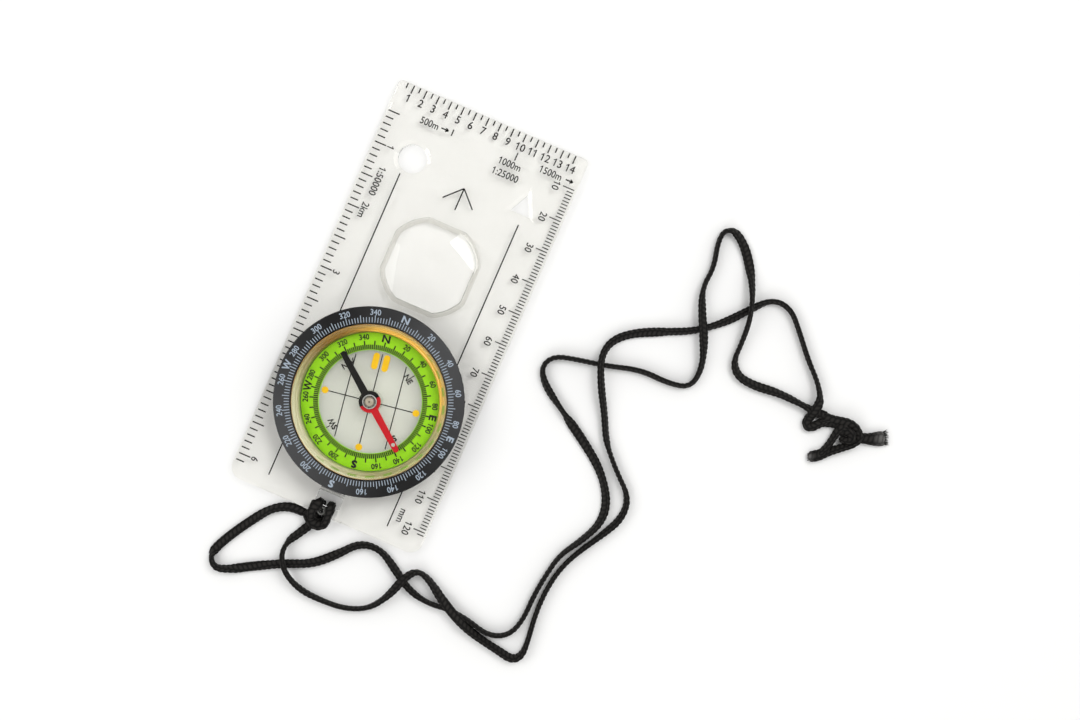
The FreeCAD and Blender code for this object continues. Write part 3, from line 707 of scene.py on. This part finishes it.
needleTurn = math.radians(142.0)
sealLook = {
    # the angle a quarter turn before each tone is strongest; the tones are painted light, painted shade and
    # a painted reflection
    "gold": 0.0,
    "pale": 2.55,
    "paintedShade": 1.15,
    "mirror": -2.0,
    "dashes": 26.0,  # that the mirrored green is broken into
    # radii between which each band begins or ends
    "mirrorFrom": (21.2, 21.4),
    "mirrorTo": (21.65, 21.85),
    "outerFrom": (21.25, 21.9),
    "rimFrom": (22.12, 22.3),
}
clearLook = {  # colour, its shadow's colour, refraction, ripple and, where it isn't 1, clarity
    "plateClear": (colour(0.908, 0.903, 0.886), colour(0.85, 0.85, 0.835), 1.49, 0.012),
    "lensClear": (colour(0.918, 0.913, 0.898), colour(0.87, 0.87, 0.855), 1.49, 0.01),
    "capsuleClear": (colour(0.985, 0.99, 0.962), colour(0.97, 0.975, 0.945), 1.42, 0.01),
    "discClear": (colour(0.955, 0.96, 0.92), colour(0.94, 0.945, 0.92), 1.42, 0.01, 0.8),
    "lidClear": (colour(0.985, 0.985, 0.975), colour(0.84, 0.84, 0.83), 1.35, 0.005),
}
blackLook = {  # base, paler colour of grain, mottle and painted sheen, roughness, grain to a millimetre and its depth, then the share of painted sheen and mottle
    "bezelBlack": (colour(0.006, 0.006, 0.006), colour(0.022, 0.022, 0.023), 0.42, 9.0, 0.00008),
    "azimuthBlack": (colour(0.001, 0.001, 0.0012), colour(0.062, 0.063, 0.065),
                     0.42, 14.0, 0.00003, 0.85, 0.1),
    "retainerBlack": (colour(0.006, 0.006, 0.006), colour(0.020, 0.020, 0.021), 0.5, 6.0, 0.00008),
    "plugDark": (colour(0.02, 0.018, 0.012), colour(0.10, 0.08, 0.05), 0.4, 8.0, 0.00005),
}
clear = {name: clearPlastic(name, *look) for name, look in clearLook.items()}
black = {name: grainedBlack(name, *look) for name, look in blackLook.items()}
nodeFinish = {
    "baseplate": clear["plateClear"],
    "magnifier_lens": clear["lensClear"],
    "bezel": black["bezelBlack"],
    "azimuth_ring": black["azimuthBlack"],
    "bezel_retainer": black["retainerBlack"],
    "capsule_cup": clear["capsuleClear"],
    "capsule_lid": clear["lidClear"],
    "orienting_disc": clear["discClear"],
    "pivot_post": clear["capsuleClear"],
    "needle_collar": clear["lidClear"],
    "sealing_ring": amberSeal("amberSeal"),
    "filler_plug": black["plugDark"],
    "dial_ring": enamel("dialGreen", colour(0.27, 0.62, 0.003), colour(0.31, 0.68, 0.006), 0.5),
    "luminous_dots": enamel("luminousYellow", colour(0.80, 0.46, 0.003), colour(0.86, 0.51, 0.006), 0.5),
    "pivot_pin": brushedSteel("pivotSteel"),
    "needle": needlePaint("needlePaint", needleTurn),
    "needle_jewel": jewelCap("jewelCap"),
}
nodeFinish["luminous_bars"] = nodeFinish["luminous_dots"]
for name, material in nodeFinish.items():
    mesh = cadNodes[name].data
    mesh.materials.clear()
    mesh.materials.append(material)
print("hard parts are painted")


# seal and rims
def spinRound(bm, geometry, steps):  # a full turn about the upright axis
    circle = {"cent": (0, 0, 0), "axis": (0, 0, 1), "angle": 2 * math.pi}
    bmesh.ops.spin(bm, geom=geometry, steps=steps, use_merge=True, **circle)


seal = {  # radius and height of the bead's section, from the outer foot over the ridges to the skirt
    "section": ((22.42, 8.64), (22.42, 9.55), (22.3, 9.66), (22.12, 9.66), (22.02, 9.52), (21.8, 9.5),
                (21.62, 9.62), (21.36, 9.62), (21.24, 9.46), (21.0, 9.44), (20.84, 9.58), (20.64, 9.58),
                (20.42, 9.2), (20.3, 8.4), (20.27, 6.5), (20.42, 6.46), (20.45, 8.5), (20.62, 8.64)),
    "steps": 180,
}


def sealBead():  # the soft ring under the lid, with the skirt that it sends down the capsule's wall
    bm = bmesh.new()
    ring = [bm.verts.new((r * mm, 0.0, z * mm)) for r, z in seal["section"]]
    edges = [bm.edges.new(pair) for pair in zip(ring, ring[1:] + ring[:1])]
    spinRound(bm, ring + edges, seal["steps"])
    bmesh.ops.translate(bm, vec=(housing.x, housing.y, 0.0), verts=bm.verts)
    piece = finishMesh(bm, "sealBead", nodeFinish["sealing_ring"], "capsule")
    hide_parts("sealing_ring")


def lip(name, facts, x, y, height, material):  # a rounded rim whose middle is at a place in metres
    bm = bmesh.new()
    place = Matrix.Translation((facts["radius"] * mm, 0.0, 0.0)) @ Matrix.Rotation(math.pi / 2, 4, "X")
    made = bmesh.ops.create_circle(bm, segments=12, radius=facts["tube"] * mm, matrix=place)
    spinRound(bm, made["verts"] + bm.edges[:], 48)
    bmesh.ops.translate(bm, vec=(x, y, height), verts=bm.verts)
    finishMesh(bm, name, material, facts["body"])


pip = {
    "radius": 1.02,
    "tube": 0.24,
    "height": 4.1,
    "side": -0.6,  # from the plate's middle
    "fromBack": 1.35,  # from the plate's back edge
    "body": "plate",
    "slot": "clear_plate",
}
collar = {
    "radius": 1.96,
    "tube": 0.14,
    "sunk": 0.12,  # below the collar's top
    "body": "needle",
    "slot": "capsule_clear",
}


def pipRim():  # the rounded lip of the hollow pip on the lanyard bar
    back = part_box("baseplate")[0].y
    # painted highlight: the grey stands for the light that the clear pip's rim catches
    material = enamel("pipRimPaintedHighlight", colour(0.09, 0.09, 0.085), colour(0.20, 0.20, 0.19), 0.15)
    lip("pipRim", pip, pip["side"] * mm, back + pip["fromBack"] * mm, pip["height"] * mm, material)


def collarRim():  # the edge of the clear collar round the needle's bearing, as a pale ring that is its painted highlight
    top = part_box("needle_collar")[1].z
    # painted highlight: the pale colour stands for the light on the collar's clear edge
    material = enamel("collarRimPaintedHighlight", colour(0.42, 0.41, 0.40), colour(0.66, 0.65, 0.64), 0.1)
    lip("collarRim", collar, housing.x, housing.y, top - collar["sunk"] * mm, material)


sealBead()
pipRim()
collarRim()
print("seal and rims are formed")


# printed scales
inkBlack = ink("inkBlack", colour(0.006, 0.005, 0.005), colour(0.022, 0.020, 0.018))
inkPale = ink("inkPale", colour(0.30, 0.36, 0.43), colour(0.40, 0.46, 0.53))
inkDepth = 0.012
inkGap = 0.004  # between a print and its surface


def textMesh(text, size):  # a word in the built-in font, centred across
    curve = bpy.data.curves.new("word", "FONT")
    curve.body = text
    curve.size = size
    curve.align_x = "CENTER"
    curve.extrude = inkDepth / 2
    curve.resolution_u = 3
    carrier = bpy.data.objects.new("word", curve)
    scene.collection.objects.link(carrier)
    mesh = bpy.data.meshes.new_from_object(carrier)
    bpy.data.objects.remove(carrier)
    bpy.data.curves.remove(curve)
    return mesh


def capHeight():  # height of a capital of the built-in font, for a size of 1
    mesh = textMesh("H", 1.0)
    tall = max(v.co.y for v in mesh.vertices)
    bpy.data.meshes.remove(mesh)
    return tall


capital = capHeight()


def embolden(letters, amount):  # moves the outlines of flat letters outwards
    bmesh.ops.remove_doubles(letters, verts=letters.verts, dist=1e-5)
    letters.normal_update()
    moves = []
    for vert in letters.verts:
        walls = [face.normal for face in vert.link_faces if abs(face.normal.z) < 0.5]
        outward = sum(walls, Vector())
        moves.append(outward.normalized() * amount if outward.length > 0.1 else Vector())
    for vert, move in zip(letters.verts, moves):
        vert.co += move


def flagOnes(letters, height):  # the built-in font's 1 is a bare stroke, so it gets its flag
    reaches = [[v.co.x for v in face.verts] for face in letters.faces]
    spans = []
    for low, high in sorted((min(reach), max(reach)) for reach in reaches):
        if spans and low <= spans[-1][1] + 0.01 * height:
            spans[-1][1] = max(spans[-1][1], high)
        else:
            spans.append([low, high])
    for low, high in spans:
        rises = [v.co.y for v in letters.verts if low <= v.co.x <= high]
        width = high - low
        if width < 0.25 * height and max(rises) - min(rises) > 0.9 * height:
            tip = (low - 0.22 * height, height * 0.72)
            stroke(letters, high - width * 0.2, height * 0.97, *tip, width * 0.8)


def lying(x, y, turn):  # where a print lies, from millimetres and degrees
    return Matrix.Translation((x, y, 0.0)) @ Matrix.Rotation(math.radians(turn), 4, "Z")


def word(bm, text, height, x, y, turn, bold, narrow=0.92):  # a word centred at a place
    mesh = textMesh(text, height / capital)
    letters = bmesh.new()
    letters.from_mesh(mesh)
    embolden(letters, bold * height)
    if "1" in text:
        flagOnes(letters, height)
    letters.to_mesh(mesh)
    letters.free()
    squeezed = lying(x, y, turn) @ Matrix.Diagonal((narrow, 1.0, 1.0, 1.0))
    mesh.transform(squeezed @ Matrix.Translation((0.0, -height / 2, 0.0)))
    bm.from_mesh(mesh)
    bpy.data.meshes.remove(mesh)


def bar(bm, length, width, x, y, turn=0.0):  # a line centred at a place, along X before it is turned
    place = lying(x, y, turn) @ Matrix.Diagonal((length, width, inkDepth, 1.0))
    bmesh.ops.create_cube(bm, size=1.0, matrix=place)


def stroke(bm, x1, y1, x2, y2, width):  # a line from one place to another
    turn = math.degrees(math.atan2(y2 - y1, x2 - x1))
    bar(bm, math.hypot(x2 - x1, y2 - y1), width, (x1 + x2) / 2, (y1 + y2) / 2, turn)


def printed(bm, name, height, body, material):  # lifts a print drawn in millimetres onto its surface
    for vert in bm.verts:
        level = height(vert.co.y) if callable(height) else height
        vert.co.z += level + inkDepth / 2 + inkGap
    bmesh.ops.scale(bm, vec=(mm, mm, mm), verts=bm.verts)
    finishMesh(bm, name, material, body, smooth=False)


plate = {
    "thickness": 2.8,
    "left": -29.8,  # where the scales begin, a little inside the left edge
    "front": 63.6,
    "bevel": 7.5,  # how far back the front edge's slope reaches
    "edge": 1.3,  # thickness at the front
}
scales = {
    # line widths, then the heights of numbers and words
    "thin": 0.39,
    "fine": 0.33,
    "rule": 0.38,
    "digit": 2.3,
    "label": 2.05,
    "bold": 0.02,
    "narrow": 0.86,
    # places are counted from the scales' left end and back from the plate's front edge
    "hectometre": 4.0,  # at 1:25000
    "hectometres": 14,
    "digitRow": 4.5,
    "digitBack": 0.1,  # numbers stand a little before their tick
    "frontReach": (1.6, 2.6),  # length of a short tick and of a long one
    "frontMargin": 0.25,
    "frontWords": (("500m", 12.7, 8.8), ("1000m", 39.1, 10.4),
                   ("1500m", 51.2, 8.0), ("1:25000", 39.1, 13.8)),
    "frontArrows": ((17.6, 8.7), (57.2, 8.0)),
    "frontBars": ((20.0, 8.7, 2.0), (40.0, 7.65, 2.5)),
    "leftTicks": (10, 123, 2),
    "leftReach": (2.45, 3.6),
    "leftWords": (("1", 5.0, 20), ("2km", 5.0, 40), ("3", 5.0, 60), ("4", 5.0, 80),
                  ("5", 5.0, 100), ("6", 5.0, 120), ("1:50000", 5.4, 30.6)),
    "rightTicks": (10, 122),
    "rightReach": (2.0, 3.6),
    "ruler": 59.6,  # outer end of the ruler's ticks
    "rulerRow": 54.1,
    "rulerOn": 0.7,  # numbers stand a little past their tick
    "rulerUnit": (51.3, 118.0),
    "arrow": (29.7, 22.4),
    "arrowEnds": ((29.7, 29.3), (24.9, 27.3), (34.4, 27.2)),
    "longLines": (10.6, 48.6),
    "longSpans": ((25.8, 72.0), (109.0, 122.5)),
}
smallArrow = {"tail": -1.2, "shaft": 1.0, "tip": 1.1, "barb": 0.2, "spread": 0.55}


def plateTop(y):
    slope = (plate["thickness"] - plate["edge"]) / plate["bevel"]
    return plate["thickness"] - slope * max(0.0, y - plate["front"] + plate["bevel"])


def onPlate(u, v):  # the place of a mark
    return plate["left"] + u, plate["front"] - v


def pointRight(bm, x, y):
    facts = smallArrow
    stroke(bm, x + facts["tail"], y, x + facts["shaft"], y, scales["thin"])
    for side in (-1, 1):
        stroke(bm, x + facts["tip"], y, x + facts["barb"], y + side * facts["spread"], scales["thin"])


def frontScale(bm):  # hundreds of metres at 1:25000, with half steps
    short, long = scales["frontReach"]
    for n in range(1, 2 * scales["hectometres"] + 1):
        u = n * scales["hectometre"] / 2
        reach = short if n % 2 else long
        bar(bm, scales["thin"], reach, *onPlate(u, scales["frontMargin"] + reach / 2))
        if n % 2 == 0:
            place = onPlate(u - scales["digitBack"], scales["digitRow"])
            word(bm, str(n // 2), scales["digit"], *place, 0.0, scales["bold"])
    for text, u, v in scales["frontWords"]:
        word(bm, text, scales["label"], *onPlate(u, v), 0.0, scales["bold"], scales["narrow"])
    for u, v in scales["frontArrows"]:
        pointRight(bm, *onPlate(u, v))
    for u, v, reach in scales["frontBars"]:
        bar(bm, scales["thin"], reach, *onPlate(u, v))


def leftScale(bm):  # kilometres at 1:50000
    short, long = scales["leftReach"]
    for v in range(*scales["leftTicks"]):
        reach = short if v % 10 else long
        bar(bm, reach, scales["thin"], *onPlate(reach / 2, v))
    for text, u, v in scales["leftWords"]:
        word(bm, text, scales["label"], *onPlate(u, v), -90.0, scales["bold"])


def rightScale(bm):  # millimetres
    short, long = scales["rightReach"]
    for v in range(*scales["rightTicks"]):
        reach = short if v % 10 else long
        bar(bm, reach, scales["fine"], *onPlate(scales["ruler"] - reach / 2, v))
    for v in range(*scales["rightTicks"], 10):
        place = onPlate(scales["rulerRow"], v + scales["rulerOn"])
        word(bm, str(v), scales["label"], *place, -90.0, scales["bold"])
    word(bm, "mm", scales["label"], *onPlate(*scales["rulerUnit"]), -90.0, scales["bold"])


def plateMarks(bm):  # direction arrow and the two long lines
    for end in scales["arrowEnds"]:
        stroke(bm, *onPlate(*scales["arrow"]), *onPlate(*end), scales["thin"])
    for u in scales["longLines"]:
        for near, far in scales["longSpans"]:
            stroke(bm, *onPlate(u, near), *onPlate(u, far), scales["rule"])


def plateScales():
    bm = bmesh.new()
    frontScale(bm)
    leftScale(bm)
    rightScale(bm)
    plateMarks(bm)
    printed(bm, "plateScales", plateTop, "plate", inkBlack)


def clockPlace(radius, degrees, turn):  # place and turn of what stands at a clock angle of a turned dial
    angle = math.radians(degrees - turn)
    x = radius * math.sin(angle) + housing.x / mm
    y = radius * math.cos(angle) + housing.y / mm
    return x, y, turn - degrees


azimuth = {
    "turn": -1.0,
    # radii of the ticks' ends and of the middles of numbers and letters
    "inner": 23.0,
    "fine": 24.5,
    "ten": 25.1,
    "digitRadius": 26.0,
    "letterRadius": 25.9,
    # heights and extra weights, and the ticks' width
    "digit": 1.6,
    "digitBold": 0.02,
    "letter": 1.9,
    "letterBold": 0.07,
    "tick": 0.22,
}
dial = {
    "turn": 9.0,
    "inner": 15.25,
    "fine": 16.65,
    "ten": 17.8,
    "digitRadius": 18.9,
    "letterRadius": 18.8,
    "digit": 1.5,
    "digitBold": 0.045,
    "letter": 1.95,
    "letterBold": 0.095,
    "tick": 0.4,
}
cardinals = (("N", 0, 1.15), ("E", 90, 1.15), ("S", 180, 1.15), ("W", 270, 0.95))  # the last is its width


def ringScale(bm, facts):
    for degrees in range(0, 360, 2):
        outer = facts["ten"] if degrees % 10 == 0 else facts["fine"]
        x, y, turn = clockPlace((facts["inner"] + outer) / 2, degrees, facts["turn"])
        bar(bm, facts["tick"], outer - facts["inner"], x, y, turn)
    for degrees in range(0, 360, 20):
        if degrees % 180:
            place = clockPlace(facts["digitRadius"], degrees, facts["turn"])
            word(bm, str(degrees), facts["digit"], *place, facts["digitBold"])
    for text, degrees, wide in cardinals:
        place = clockPlace(facts["letterRadius"], degrees, facts["turn"])
        word(bm, text, facts["letter"], *place, facts["letterBold"], wide)


def azimuthScale():
    bm = bmesh.new()
    ringScale(bm, azimuth)
    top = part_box("azimuth_ring")[1].z / mm
    printed(bm, "azimuthScale", top, "bezel", inkPale)


def dialScale():
    bm = bmesh.new()
    ringScale(bm, dial)
    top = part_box("dial_ring")[1].z / mm
    printed(bm, "dialScale", top, "capsule", inkBlack)


orienting = {
    "width": 0.3,
    "spacing": 7.6,
    # how far each line reaches from the middle
    "side": 12.4,
    "north": 14.3,
    "south": 13.8,
    "east": 13.7,
    # the corners' letters and ticks
    "corner": 12.8,
    "letter": 1.65,
    "bold": 0.06,
    "tickRadius": 14.4,
    "tick": (0.26, 1.2),
}


def orientingLines():
    bm = bmesh.new()
    facts = orienting
    for x, low, high in ((0.0, -facts["south"], facts["north"]),
                         (-facts["spacing"], -facts["side"], facts["side"]),
                         (facts["spacing"], -facts["side"], facts["side"])):
        bar(bm, facts["width"], high - low, x, (low + high) / 2)
    bar(bm, 2 * facts["east"], facts["width"], 0.0, 0.0)
    for degrees, text in ((45, "NE"), (135, "SE"), (225, "SW"), (315, "NW")):
        east = math.sin(math.radians(degrees))
        north = math.cos(math.radians(degrees))
        radius = facts["corner"]
        word(bm, text, facts["letter"], radius * east, radius * north, -degrees, facts["bold"])
        radius = facts["tickRadius"]
        bar(bm, *facts["tick"], radius * east, radius * north, -degrees)
    turn = Matrix.Rotation(math.radians(dial["turn"]), 4, "Z")
    turn.translation = (housing.x / mm, housing.y / mm, 0.0)
    bmesh.ops.transform(bm, matrix=turn, verts=bm.verts)
    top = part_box("orienting_disc")[1].z / mm
    printed(bm, "orientingLines", top, "capsule", inkBlack)


plateScales()
azimuthScale()
dialScale()
orientingLines()
print("scales are printed")
